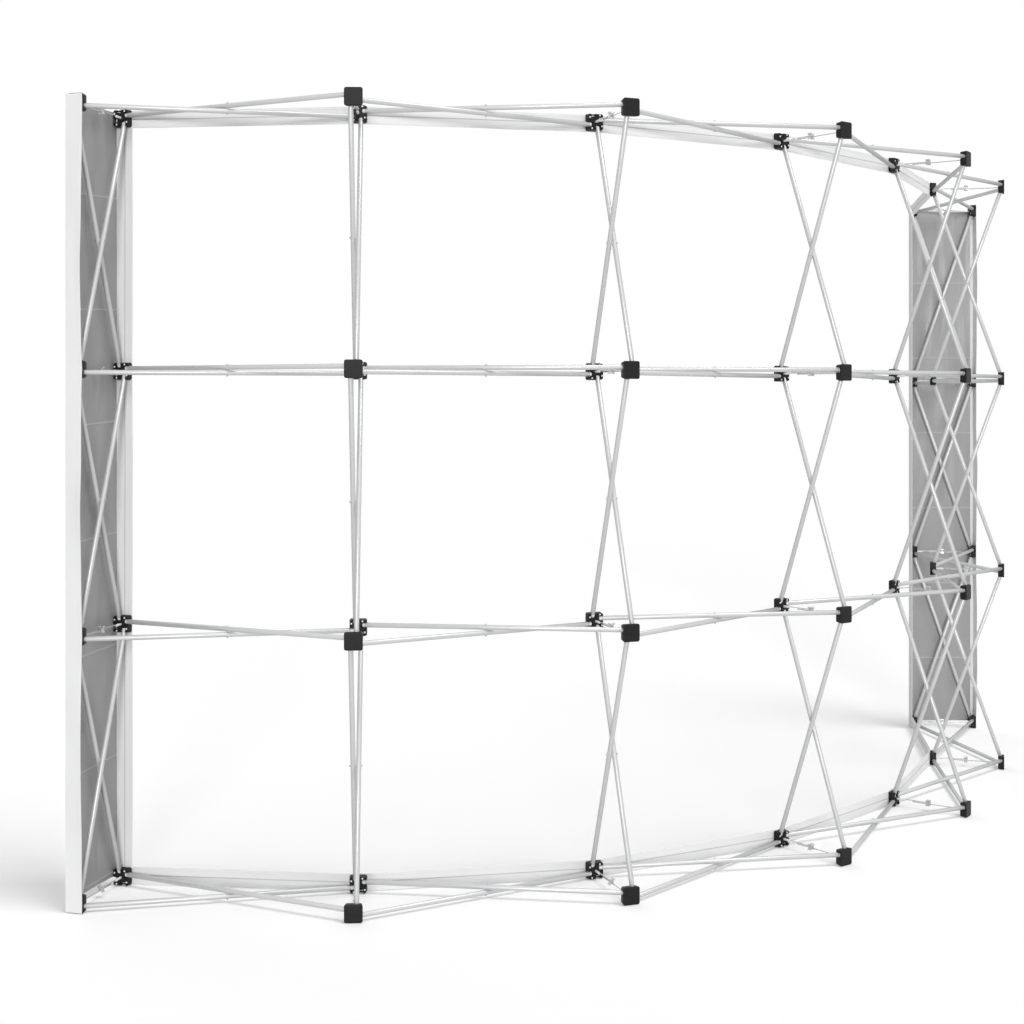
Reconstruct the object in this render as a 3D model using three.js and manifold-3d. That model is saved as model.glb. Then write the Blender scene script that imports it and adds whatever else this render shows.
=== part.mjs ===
// Pop-up display backwall: a curved lattice of tubes and hubs, six bays wide and three quads
// high, with a sewn border round its open front and a fabric panel over each end.
// Millimetres, +Z up. The hollow front faces -Y and the back hubs face +Y.
// The origin is on the floor, under the middle of the object's box.
import * as THREE from "three";
import { mergeVertices } from "three/addons/utils/BufferGeometryUtils.js";
import Module from "manifold-3d";

const wasm = await Module();
wasm.setup();

// ---- Driving dimensions ----

// Lattice
const BAYS = 6;
const QUADS_HIGH = 3;
const LINK_SPAN = 767; // hub centre to hub centre, the same for level and upright tubes
const FRAME_DEPTH = 245; // back hub centre to front hub centre
const BAY_ANGLE = 17.6; // degrees that the wall turns in one bay

// Tubes
const TUBE_DIAMETER = 14;
const TUBE_SIDES = 8;
const CROSSING_GAP = 1.3; // air between two tubes where they cross
const PIN_OVERRUN = 3; // how far an upright tube runs on past its hub pin
const TUBE_SET = 4.5; // how deep a level tube's end is set in the core of its hub

// Hubs
const HUB_SIZE = 50;
const HUB_CORNER = 5; // cut of the hub's four corners
const HUB_CORE = 20; // solid middle between the four slots
const HUB_LIP = 9; // from the pin plane to the open inner face
const CAP_THICKNESS = 3.5;
const CAP_CLEARANCE = 2.8; // from a tube to the cap under it
const PIN_INSET = 8.5; // from the hub's edge in to the pin
const SLOT_CLEARANCE = 0.35; // each side of a tube in its slot

// Pivot bolts at the tube crossings
const BOLT_DIAMETER = 3.6;
const BOLT_PROUD = 4; // what shows past each tube
const BOLT_CLEARANCE = 0.3;
const BOLT_SIDES = 5;

// Lock links between each back hub and the front hub across from it
const ROD_DIAMETER = 3.2;
const ROD_SIDES = 6;
const ROD_DROP = 2.5; // the rod's centre lies this far under the hub's centre
const ROD_TIP_REACH = 62; // from the front hub's pin plane to the rod's free tip
const ROD_ROOT = 4; // how deep the rod is set in the back hub
const ARM_DIAMETER = 7;
const ARM_SIDES = 6;
const ARM_HINGE_PROUD = 1; // the arm's hinge lies this far outside the hub's inner face
const ARM_BARREL_END = 36; // from the front hub's pin plane to the end of the thick barrel
const ARM_BAR = 3;
const ARM_CLEARANCE = 0.3; // each side of the arm's root in its pocket in the front hub
const CLIP_REACH = 118; // from the front hub's pin plane to the middle of the clip
const CLIP_LENGTH = 14;
const CLIP_WALL = 2.6;
const CLIP_ROOF = 6;
const CLIP_LIP = 1; // how far the clip's lips reach under the rod's centre
const WING_SPAN = 18;
const WING_RISE = 7;
const WING_ROOT = 1.8; // thickness of a wing where it leaves the clip's side
const CLIP_CLEARANCE = 0.3;

// Fabric
const FABRIC_THICKNESS = 2;
const BORDER_WIDTH = 50; // of the border along the top, the bottom and both ends of the front
const REAR_STRIP = 50; // width of the strip that wraps over the end column's back hubs
const END_INSET = 22; // from the strip's top and bottom to those of the end panel's side
const FABRIC_LIFT = 2; // hem above the floor, and below the top of the hubs
const SEAT_GAP = 0.3; // between fabric and what it lies on

// Finishes
const ALUMINIUM = { color: 0xc9cbcd, roughness: 0.34, metalness: 0.9 };
const UPRIGHT_ALUMINIUM = { color: 0xd3d5d7, roughness: 0.34, metalness: 0.9 };
const LOCK_PLASTIC = { color: 0xdedfe0, roughness: 0.45, metalness: 0.1 };
const BORDER_FABRIC = { color: 0xe4e4e4, roughness: 0.9, metalness: 0 };
const PANEL_FABRIC = { color: 0xa6a4a4, roughness: 0.6, metalness: 0 };

// ---- Worked out from the driving dimensions ----

const COLUMNS = BAYS + 1;
const ROWS = QUADS_HIGH + 1;
const BAY_TURN = THREE.MathUtils.degToRad(BAY_ANGLE);
// A tube of one length closes both the upright and the level scissors, which fixes the
// height of a quad and the radius of the wall.
const ROW_PITCH = Math.sqrt(LINK_SPAN ** 2 - FRAME_DEPTH ** 2);
const MEAN_RADIUS = ROW_PITCH / (2 * Math.sin(BAY_TURN / 2));
const FRONT_RADIUS = Math.sqrt(MEAN_RADIUS ** 2 + (FRAME_DEPTH / 2) ** 2) - FRAME_DEPTH / 2;
const BACK_RADIUS = FRONT_RADIUS + FRAME_DEPTH;

const TUBE_RADIUS = TUBE_DIAMETER / 2;
const SLOT_OFFSET = (TUBE_DIAMETER + CROSSING_GAP) / 2;
const HALF_HUB = HUB_SIZE / 2;
const PIN_REACH = HALF_HUB - PIN_INSET;
const SLOT_FLOOR = TUBE_RADIUS + CAP_CLEARANCE; // from the pin plane out to the cap
const HUB_OUTER = SLOT_FLOOR + CAP_THICKNESS; // from the pin plane out to the cap's face
const HINGE_REACH = HUB_LIP + ARM_HINGE_PROUD; // from the front hub's pin plane to the hinge
const ARM_ROOT = ARM_DIAMETER / 2; // how far the arm's root runs on behind the hinge
const ARM_CORNER = ARM_DIAMETER / 2 / Math.cos(Math.PI / ARM_SIDES);
const ARM_SWEEP = Math.hypot(ARM_ROOT, ARM_CORNER); // the root's corner about the hinge
const CUT = 1; // how far a cutting tool runs past the face that it opens

const END_ANGLE = (BAYS / 2) * BAY_TURN;
const BORDER_INNER = FRONT_RADIUS - HUB_OUTER - SEAT_GAP;
const BORDER_OUTER = BORDER_INNER - FABRIC_THICKNESS;
const STRIP_INNER = BACK_RADIUS + HUB_OUTER + SEAT_GAP;
const STRIP_OUTER = STRIP_INNER + FABRIC_THICKNESS;
const PANEL_INNER = HALF_HUB + SEAT_GAP;
const PANEL_OUTER = PANEL_INNER + FABRIC_THICKNESS;
const FRAME_HEIGHT = QUADS_HIGH * ROW_PITCH + HUB_SIZE;
const FABRIC_HEIGHT = FRAME_HEIGHT - 2 * FABRIC_LIFT;

// The arc's centre lies in front of the wall, so that the object's box is centred on Y = 0.
const FRONT_Y = BORDER_OUTER * Math.cos(END_ANGLE) - PANEL_OUTER * Math.sin(END_ANGLE);
const BACK_Y = BACK_RADIUS + HUB_OUTER;
const ARC_CENTRE_Y = -(FRONT_Y + BACK_Y) / 2;

// ---- Solids ----

function material(finish) {
  return new THREE.MeshStandardMaterial(finish);
}

// A closed geometry as a solid that can be joined and cut.
function solid(geometry, matrix = new THREE.Matrix4()) {
  const bare = new THREE.BufferGeometry();
  bare.setAttribute("position", geometry.getAttribute("position"));
  bare.setIndex(geometry.index);
  const merged = mergeVertices(bare.applyMatrix4(matrix), 1e-4);
  return new wasm.Manifold(
    new wasm.Mesh({
      numProp: 3,
      vertProperties: merged.attributes.position.array,
      triVerts: new Uint32Array(merged.index.array),
    }),
  );
}

function geometryOf(body) {
  const mesh = body.getMesh();
  const geometry = new THREE.BufferGeometry();
  geometry.setAttribute("position", new THREE.BufferAttribute(mesh.vertProperties, 3));
  geometry.setIndex(new THREE.BufferAttribute(mesh.triVerts, 1));
  return geometry;
}

function joined(solids) {
  return solids.reduce((sum, next) => sum.add(next));
}

function box(low, high) {
  const size = new THREE.Vector3().subVectors(high, low);
  const geometry = new THREE.BoxGeometry(size.x, size.y, size.z);
  return solid(geometry.translate(low.x + size.x / 2, low.y + size.y / 2, low.z + size.z / 2));
}

// A many-sided prism between two points, with one pair of its flats facing along `flatSide`.
function prism(from, to, acrossFlats, sides, flatSide) {
  const axis = new THREE.Vector3().subVectors(to, from);
  const length = axis.length();
  axis.normalize();
  const cornerRadius = acrossFlats / 2 / Math.cos(Math.PI / sides);
  const corners = [...Array(sides).keys()].map((corner) => {
    const angle = ((2 * corner + 1) * Math.PI) / sides;
    return new THREE.Vector2(cornerRadius * Math.cos(angle), cornerRadius * Math.sin(angle));
  });
  const options = { depth: length, bevelEnabled: false };
  const geometry = new THREE.ExtrudeGeometry(new THREE.Shape(corners), options);
  const across = new THREE.Vector3().crossVectors(axis, flatSide);
  const matrix = new THREE.Matrix4().makeBasis(flatSide, across, axis);
  return solid(geometry, matrix.setPosition(from));
}

function place(body, matrix) {
  return solid(geometryOf(body), matrix);
}

// ---- The lattice's layout ----

const UP = new THREE.Vector3(0, 0, 1);
const ALONG = new THREE.Vector3(1, 0, 0); // along the wall, in a column's own frame

// Column 0 is at the +X end. In a column's own frame X runs along the wall towards that end,
// Y runs outwards from the arc's centre and Z runs up.
function columnTurn(column) {
  return (BAYS / 2 - column) * BAY_TURN;
}

function columnMatrix(column) {
  const matrix = new THREE.Matrix4().makeRotationZ(-columnTurn(column));
  return matrix.setPosition(0, ARC_CENTRE_Y, 0);
}

function rowHeight(row) {
  return HALF_HUB + row * ROW_PITCH;
}

const LAYERS = {
  back: { radius: BACK_RADIUS, inward: -1, hand: 1 },
  front: { radius: FRONT_RADIUS, inward: 1, hand: -1 },
};

// The pin of one slot, in its column's frame. `side` is the unit direction (x, z) in which
// the slot opens; the four slots of a hub lie like the vanes of a pinwheel.
function pinPlace(layer, row, side) {
  const shift = layer.hand * SLOT_OFFSET;
  return new THREE.Vector3(
    PIN_REACH * side.x - shift * side.y,
    layer.radius,
    rowHeight(row) + PIN_REACH * side.y + shift * side.x,
  );
}

// ---- Hubs ----

function hubBlock(layer) {
  const near = HALF_HUB - HUB_CORNER;
  const outline = new THREE.Shape();
  outline.moveTo(near, -HALF_HUB);
  outline.lineTo(HALF_HUB, -near);
  outline.lineTo(HALF_HUB, near);
  outline.lineTo(near, HALF_HUB);
  outline.lineTo(-near, HALF_HUB);
  outline.lineTo(-HALF_HUB, near);
  outline.lineTo(-HALF_HUB, -near);
  outline.lineTo(-near, -HALF_HUB);
  const depth = HUB_LIP + HUB_OUTER;
  const block = new THREE.ExtrudeGeometry(outline, { depth, bevelEnabled: false });
  block.rotateX(Math.PI / 2);
  block.translate(0, layer.inward > 0 ? HUB_LIP : HUB_OUTER, 0);
  return solid(block);
}

// The cutter for one slot, from its end wall at the core out past the hub's edge.
function slotCutter(layer, quarter) {
  const halfWidth = TUBE_RADIUS + SLOT_CLEARANCE;
  const middle = -layer.hand * SLOT_OFFSET;
  const inner = layer.inward * (HUB_LIP + CUT);
  const floor = -layer.inward * SLOT_FLOOR;
  const low = new THREE.Vector3(middle - halfWidth, Math.min(inner, floor), HUB_CORE / 2);
  const high = new THREE.Vector3(middle + halfWidth, Math.max(inner, floor), HALF_HUB + CUT);
  return box(low, high).rotate([0, -90 * quarter, 0]);
}

// The pocket holds the arm's root, which turns in it about a level pin.
function armPocket() {
  const half = ARM_DIAMETER / 2 + ARM_CLEARANCE;
  const swing = ARM_SWEEP + ARM_CLEARANCE;
  const low = new THREE.Vector3(-half, HINGE_REACH - swing, -swing);
  return box(low, new THREE.Vector3(half, HUB_LIP + CUT, swing));
}

// The thin wire that the lock arm's clip snaps over, set fast in the back hub.
function lockRod() {
  const root = new THREE.Vector3(0, -HUB_LIP + ROD_ROOT, -ROD_DROP);
  const tip = new THREE.Vector3(0, ROD_TIP_REACH - FRAME_DEPTH, -ROD_DROP);
  return prism(root, tip, ROD_DIAMETER, ROD_SIDES, ALONG);
}

function hub(layer) {
  const slots = [0, 1, 2, 3].map((quarter) => slotCutter(layer, quarter));
  const body = slots.reduce((left, slot) => left.subtract(slot), hubBlock(layer));
  return layer === LAYERS.back ? body.add(lockRod()) : body.subtract(armPocket());
}

const HUBS = new Map([
  [LAYERS.back, hub(LAYERS.back)],
  [LAYERS.front, hub(LAYERS.front)],
]);

function placedHub(layer, column, row) {
  const matrix = columnMatrix(column);
  matrix.multiply(new THREE.Matrix4().makeTranslation(0, layer.radius, rowHeight(row)));
  return place(HUBS.get(layer), matrix);
}

// ---- Level scissors: two strands to a row, each a zigzag of hubs and tubes ----

// The two pins of the tube that crosses a bay from `layer` in the first column to the other
// layer in the next, in the object's frame.
function levelTubeEnds(layer, bay, row) {
  const other = layer === LAYERS.back ? LAYERS.front : LAYERS.back;
  const away = new THREE.Vector2(-1, 0);
  const back = new THREE.Vector2(1, 0);
  const from = pinPlace(layer, row, away).applyMatrix4(columnMatrix(bay));
  const to = pinPlace(other, row, back).applyMatrix4(columnMatrix(bay + 1));
  return [from, to];
}

// A tube from pin to pin that runs on past both of them.
function tube([from, to], overrun, flatSide) {
  const step = new THREE.Vector3().subVectors(to, from).setLength(overrun);
  const ends = [from.clone().sub(step), to.clone().add(step)];
  return prism(...ends, TUBE_DIAMETER, TUBE_SIDES, flatSide);
}

function levelTube(layer, bay, row) {
  const overrun = PIN_REACH - HUB_CORE / 2 + TUBE_SET;
  return tube(levelTubeEnds(layer, bay, row), overrun, UP);
}

// Where the two tubes of a bay cross, seen from above.
function crossing(first, second) {
  const [a, b] = first;
  const [c, d] = second;
  const across = (p, q) => p.x * q.y - p.y * q.x;
  const ab = new THREE.Vector3().subVectors(b, a);
  const cd = new THREE.Vector3().subVectors(d, c);
  const ac = new THREE.Vector3().subVectors(c, a);
  return a.clone().addScaledVector(ab, across(ac, cd) / across(ab, cd));
}

function levelBolt(bay, row, diameter) {
  const ends = [LAYERS.back, LAYERS.front].map((layer) => levelTubeEnds(layer, bay, row));
  const middle = crossing(...ends).setZ(rowHeight(row));
  const reach = SLOT_OFFSET + TUBE_RADIUS + BOLT_PROUD;
  const low = middle.clone().setZ(middle.z - reach);
  const high = middle.clone().setZ(middle.z + reach);
  return prism(low, high, diameter, BOLT_SIDES, ALONG);
}

// Strand a starts at the back hub of column 0 and strand b at the front hub. Both change
// layer at each column. Strand a carries the pivot bolts, and strand b is bored for them.
function strand(first, row) {
  const second = first === LAYERS.back ? LAYERS.front : LAYERS.back;
  const layerAt = (column) => (column % 2 === 0 ? first : second);
  const columns = [...Array(COLUMNS).keys()];
  const bays = [...Array(BAYS).keys()];
  const hubs = columns.map((column) => placedHub(layerAt(column), column, row));
  const tubes = bays.map((bay) => levelTube(layerAt(bay), bay, row));
  const body = joined([...hubs, ...tubes]);
  if (first === LAYERS.back) {
    return joined([body, ...bays.map((bay) => levelBolt(bay, row, BOLT_DIAMETER))]);
  }
  const bore = BOLT_DIAMETER + 2 * BOLT_CLEARANCE;
  return bays.reduce((left, bay) => left.subtract(levelBolt(bay, row, bore)), body);
}

// ---- Upright scissors: two crossed tubes and their bolt, in one column and one quad ----

function uprightCross(quad) {
  const up = new THREE.Vector2(0, 1);
  const down = new THREE.Vector2(0, -1);
  const tubes = [LAYERS.back, LAYERS.front].map((layer) => {
    const other = layer === LAYERS.back ? LAYERS.front : LAYERS.back;
    const ends = [pinPlace(layer, quad, up), pinPlace(other, quad + 1, down)];
    return tube(ends, PIN_OVERRUN, ALONG);
  });
  const middle = new THREE.Vector3(0, BACK_RADIUS - FRAME_DEPTH / 2, rowHeight(quad + 0.5));
  const reach = SLOT_OFFSET + TUBE_RADIUS + BOLT_PROUD;
  const low = middle.clone().setX(-reach);
  const high = middle.clone().setX(reach);
  return joined([...tubes, prism(low, high, BOLT_DIAMETER, BOLT_SIDES, UP)]);
}

// ---- Lock arms, in a frame whose origin is the hinge and whose Y runs to the back hub ----

// Section of the clip: a saddle open downwards over the rod, with two thumb wings on top.
function clipOutline() {
  const inside = ROD_DIAMETER / 2 + CLIP_CLEARANCE;
  const outside = inside + CLIP_WALL;
  const foot = -ROD_DROP - CLIP_LIP;
  const ceiling = -ROD_DROP + inside;
  const roof = ceiling + CLIP_ROOF;
  const half = WING_SPAN / 2;
  const right = [
    [inside, ceiling],
    [inside, foot],
    [outside, foot],
    [outside, roof - WING_ROOT],
    [half, roof + WING_RISE],
  ];
  const left = right.map(([x, z]) => [-x, z]).reverse();
  const points = [...right, [0, roof], ...left].map(([x, z]) => new THREE.Vector2(x, z));
  return new THREE.Shape(points);
}

function lockArm() {
  const barrelEnd = ARM_BARREL_END - HINGE_REACH;
  const clipMiddle = CLIP_REACH - HINGE_REACH;
  const clipStart = clipMiddle - CLIP_LENGTH / 2;
  const clipGeometry = new THREE.ExtrudeGeometry(clipOutline(), {
    depth: CLIP_LENGTH,
    bevelEnabled: false,
  });
  clipGeometry.rotateX(Math.PI / 2).translate(0, clipMiddle + CLIP_LENGTH / 2, 0);
  const root = new THREE.Vector3(0, -ARM_ROOT, 0);
  const tip = new THREE.Vector3(0, barrelEnd, 0);
  const barrel = prism(root, tip, ARM_DIAMETER, ARM_SIDES, ALONG);
  const barLow = new THREE.Vector3(-ARM_BAR / 2, barrelEnd - CUT, 0);
  const barHigh = new THREE.Vector3(ARM_BAR / 2, clipStart + CUT, ARM_BAR);
  return joined([barrel, box(barLow, barHigh), solid(clipGeometry)]);
}

// ---- Fabric ----

// Both upright edges of every hub on the front, as [column, distance along the wall].
const HUB_EDGES = [...Array(COLUMNS).keys()].flatMap((column) => [
  [column, HALF_HUB],
  [column, -HALF_HUB],
]);

// A wall's plan between two radii, straight from each of its edges to the next.
function wallPlan(inner, outer, edges) {
  const run = (radius) =>
    edges.map(([column, along]) => {
      const point = new THREE.Vector3(along, radius, 0).applyMatrix4(columnMatrix(column));
      return new THREE.Vector2(point.x, point.y);
    });
  return new THREE.Shape([...run(inner), ...run(outer).reverse()]);
}

function upright(plan, low, high) {
  const geometry = new THREE.ExtrudeGeometry(plan, { depth: high - low, bevelEnabled: false });
  return solid(geometry.translate(0, 0, low));
}

// One closed ring of fabric that lies on the caps of the outermost front hubs.
function frontBorder() {
  const start = [0, HALF_HUB - BORDER_WIDTH];
  const end = [BAYS, BORDER_WIDTH - HALF_HUB];
  const edges = [start, ...HUB_EDGES.slice(2, -2), end];
  const window = wallPlan(BORDER_INNER + HALF_HUB, BORDER_OUTER - HALF_HUB, edges);
  const sheet = upright(wallPlan(BORDER_INNER, BORDER_OUTER, HUB_EDGES), 0, FABRIC_HEIGHT);
  return sheet.subtract(upright(window, BORDER_WIDTH, FABRIC_HEIGHT - BORDER_WIDTH));
}

// An end panel in its column's frame, with its origin at the foot of the upright hinge: the
// side that covers the end of the frame, and the strip that folds over the back hubs' caps.
function endPanel() {
  const back = STRIP_OUTER - BORDER_OUTER;
  const sideLow = new THREE.Vector3(0, 0, END_INSET);
  const sideHigh = new THREE.Vector3(FABRIC_THICKNESS, back, FABRIC_HEIGHT - END_INSET);
  const stripLow = new THREE.Vector3(FABRIC_THICKNESS - REAR_STRIP, back - FABRIC_THICKNESS, 0);
  const stripHigh = new THREE.Vector3(FABRIC_THICKNESS, back, FABRIC_HEIGHT);
  return box(sideLow, sideHigh).add(box(stripLow, stripHigh));
}

// ---- Scene ----

function named(name, geometry, finish) {
  const mesh = new THREE.Mesh(geometry, material(finish));
  mesh.name = name;
  return mesh;
}

function columnGroup(column) {
  const group = new THREE.Group();
  group.position.y = ARC_CENTRE_Y;
  group.rotation.z = -columnTurn(column);
  return group;
}

function addStrands(wall) {
  for (let row = 0; row < ROWS; row++) {
    const a = geometryOf(strand(LAYERS.back, row));
    const b = geometryOf(strand(LAYERS.front, row));
    wall.add(named(`row_${row}_strand_a`, a, ALUMINIUM));
    wall.add(named(`row_${row}_strand_b`, b, ALUMINIUM));
  }
}

function addColumn(wall, column, crosses, arm) {
  const group = columnGroup(column);
  crosses.forEach((cross, quad) => {
    group.add(named(`upright_cross_c${column}_q${quad}`, cross, UPRIGHT_ALUMINIUM));
  });
  for (let row = 0; row < ROWS; row++) {
    const mesh = named(`lock_arm_c${column}_r${row}`, arm, LOCK_PLASTIC);
    mesh.position.set(0, FRONT_RADIUS + HINGE_REACH, rowHeight(row));
    group.add(mesh);
  }
  wall.add(group);
}

function addFabric(wall) {
  const border = named("front_border", geometryOf(frontBorder()), BORDER_FABRIC);
  border.position.z = FABRIC_LIFT;
  wall.add(border);
  const panel = geometryOf(endPanel());
  const ends = [
    ["end_panel_left", 0, 1],
    ["end_panel_right", BAYS, -1],
  ];
  for (const [name, column, side] of ends) {
    const group = columnGroup(column);
    const mesh = named(name, panel, PANEL_FABRIC);
    mesh.scale.x = side;
    mesh.position.set(side * PANEL_INNER, BORDER_OUTER, FABRIC_LIFT);
    group.add(mesh);
    wall.add(group);
  }
}

function backwall() {
  const wall = new THREE.Group();
  wall.name = "pop_up_backwall";
  addStrands(wall);
  const crosses = [...Array(QUADS_HIGH).keys()].map((quad) => geometryOf(uprightCross(quad)));
  const arm = geometryOf(lockArm());
  for (let column = 0; column < COLUMNS; column++) addColumn(wall, column, crosses, arm);
  addFabric(wall);
  return wall;
}

export default backwall();
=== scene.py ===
import math

import bmesh
import bpy
from mathutils import Matrix, Vector, noise


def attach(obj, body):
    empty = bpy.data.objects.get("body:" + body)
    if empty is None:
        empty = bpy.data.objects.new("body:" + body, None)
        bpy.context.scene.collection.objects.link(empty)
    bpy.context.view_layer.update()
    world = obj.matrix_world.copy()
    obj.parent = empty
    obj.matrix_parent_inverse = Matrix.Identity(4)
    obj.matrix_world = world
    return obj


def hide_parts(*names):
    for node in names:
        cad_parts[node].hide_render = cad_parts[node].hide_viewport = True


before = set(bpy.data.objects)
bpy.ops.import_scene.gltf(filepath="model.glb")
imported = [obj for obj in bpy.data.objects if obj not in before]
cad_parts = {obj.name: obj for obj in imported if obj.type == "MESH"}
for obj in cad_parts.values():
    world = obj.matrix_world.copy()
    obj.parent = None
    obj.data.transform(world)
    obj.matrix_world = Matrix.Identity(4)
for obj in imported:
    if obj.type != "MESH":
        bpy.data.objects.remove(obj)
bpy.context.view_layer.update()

# ---- Sizes in millimetres, as in the CAD ----

BAYS = 6
ROWS = 4
LINK_SPAN = 767
FRAME_DEPTH = 245
BAY_TURN = math.radians(17.6)
TUBE_RADIUS = 7
SLOT_OFFSET = TUBE_RADIUS + 0.65
SLOT_HALF = TUBE_RADIUS + 0.35
HALF_HUB = 25
HUB_CORNER = 6
HUB_DRAFT = 2  # how much narrower each side is at the open face than at the cap
HUB_CORE = 10  # half the width of the solid middle, where the slots end
HUB_LIP = 9  # from the hub's centre to its open face
SLOT_FLOOR = TUBE_RADIUS + 2.8
HUB_OUTER = SLOT_FLOOR + 3.5
PIN_REACH = 16.5
PIN_RADIUS = 1.5
PIN_SEAT = 1.5  # how deep each end of a pin sits in the wall of its slot
POST_MIDDLE = 19  # from the hub's centre to the middle of a post, along the side it stands on
RIVET_REACH = 12.4
POCKET_SPANS = ((1.6, 8.2), (16.4, 21))  # where the two pockets of a post start and end
POCKET_HALF = 2.4
POCKET_DEPTH = 2
CUT_PAST = 1  # how far a cutting box stands out of the face it cuts
TIP_OVERRUN = 5.2  # from a tube's pin to the end of its plastic tip
TIP_LENGTH = 9
TIP_RADIUS = TUBE_RADIUS - 0.35
TIP_ROUNDING = 3.2
RIM = 0.3  # length of the small bevel on a tube's rim

ROD_RADIUS = 1.6
ROD_DROP = 2.5
ROD_TIP_REACH = 62
ROD_SEAT = 4  # how deep the wire starts behind the back hub's open face
HINGE_REACH = 10
HINGE_POCKET_HALF = (3.8, 5.6)  # half its width and half its height
HINGE_POCKET_FLOOR = 4.4
ARM_RADIUS = 3.4
ARM_ROOT = 3.4  # how far the barrel reaches back past its hinge
ARM_BARREL_END = 36
BAR_RADIUS = 1.5
BAR_RISE = 1.5
CLIP_REACH = 118
CLIP_LENGTH = 14
CLIP_BORE = ROD_RADIUS + 0.3
CLIP_WALL = 2.6
CLIP_CROWN = 6
CLIP_BEVEL = 0.35

FABRIC_THICKNESS = 2
BORDER_WIDTH = 50
REAR_STRIP = 50
HEM_WIDTH = 7
SEAM_ACROSS = 25.5  # from the border's outer edge to its line of stitches
STITCH_PITCH = 8
STITCH_LENGTH = 5.4
STITCH_HALF_WIDTH = 0.45
STITCH_HALF_HEIGHT = 0.35
BAND_WAVE = 1.6  # how far a band waves in and out between two hubs
BAND_PULL = 1.5  # how far its free edge is drawn in there
SIDE_CLOTH = 1.4  # thickness of the cloth of the end panel's side
SIDE_GAP = 0.3  # from the faces of the panel's solid to its cloth
SIDE_BELLY = 4.6
SIDE_BELLY_LOW = -4
BACK_HEM = 12  # white cloth inside the end panel, along its back edge
TOP_HEM = 1.5
HEM_RISE = 0.12
CREASE_PITCH = 321
CREASE_HOLD = 0.2  # share of the cloth between two creases that each of them holds flat
CREASE_HEIGHT = 0.9
CREASE_HALF = 4
STRIP_HEM = 9
STRIP_HEM_RISE = 0.25
STRIP_PULL = 6.5
END_INSET = 22
FABRIC_LIFT = 2
SEAT_GAP = 0.3

ROW_PITCH = math.sqrt(LINK_SPAN**2 - FRAME_DEPTH**2)
MEAN_RADIUS = ROW_PITCH / (2 * math.sin(BAY_TURN / 2))
FRONT_RADIUS = math.sqrt(MEAN_RADIUS**2 + (FRAME_DEPTH / 2) ** 2) - FRAME_DEPTH / 2
BACK_RADIUS = FRONT_RADIUS + FRAME_DEPTH
END_ANGLE = BAYS / 2 * BAY_TURN
BORDER_INNER = FRONT_RADIUS - HUB_OUTER - SEAT_GAP
BORDER_OUTER = BORDER_INNER - FABRIC_THICKNESS
STRIP_INNER = BACK_RADIUS + HUB_OUTER + SEAT_GAP
STRIP_OUTER = STRIP_INNER + FABRIC_THICKNESS
PANEL_INNER = HALF_HUB + SEAT_GAP
PANEL_OUTER = PANEL_INNER + FABRIC_THICKNESS
FRAME_HEIGHT = (ROWS - 1) * ROW_PITCH + 2 * HALF_HUB
FABRIC_TOP = FRAME_HEIGHT - FABRIC_LIFT
FRONT_Y = BORDER_OUTER * math.cos(END_ANGLE) - PANEL_OUTER * math.sin(END_ANGLE)
ARC_CENTRE_Y = -(FRONT_Y + BACK_RADIUS + HUB_OUTER) / 2

BACK = {"name": "back", "radius": BACK_RADIUS, "hand": 1, "out": 1}
FRONT = {"name": "front", "radius": FRONT_RADIUS, "hand": -1, "out": -1}


def column_turn(column):
    return (BAYS / 2 - column) * BAY_TURN


def column_matrix(column):
    """The frame of a column in millimetres: X along the wall, Y out from the arc's centre."""
    turn = Matrix.Rotation(-column_turn(column), 4, "Z")
    return Matrix.Translation((0, ARC_CENTRE_Y, 0)) @ turn


def row_height(row):
    return HALF_HUB + row * ROW_PITCH


def column_place(column, radius, height):
    return column_matrix(column) @ Matrix.Translation((0, radius, height))


def strand_node(row, place, layer):
    """The node that holds the hubs of a column, or the level tubes that start in a bay."""
    strand = "a" if (place % 2 == 0) == (layer is BACK) else "b"
    return f"row_{row}_strand_{strand}"


def in_metres(matrix):
    """The same placing for a mesh that is already in metres."""
    placed = matrix.copy()
    placed.translation = matrix.translation * 0.001
    return placed


# ---- Materials, in metres ----

WEAVE_PITCH = 0.0011
WEAVE_DEPTH = 0.00006
SEAM_HALF = 0.0017
HEM_LINE_HALF = 0.0006
# half width of the painted highlight along each crease of the grey backing
CREASE_HIGHLIGHT_HALF = 0.005  # as a share of the creases' pitch

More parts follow.
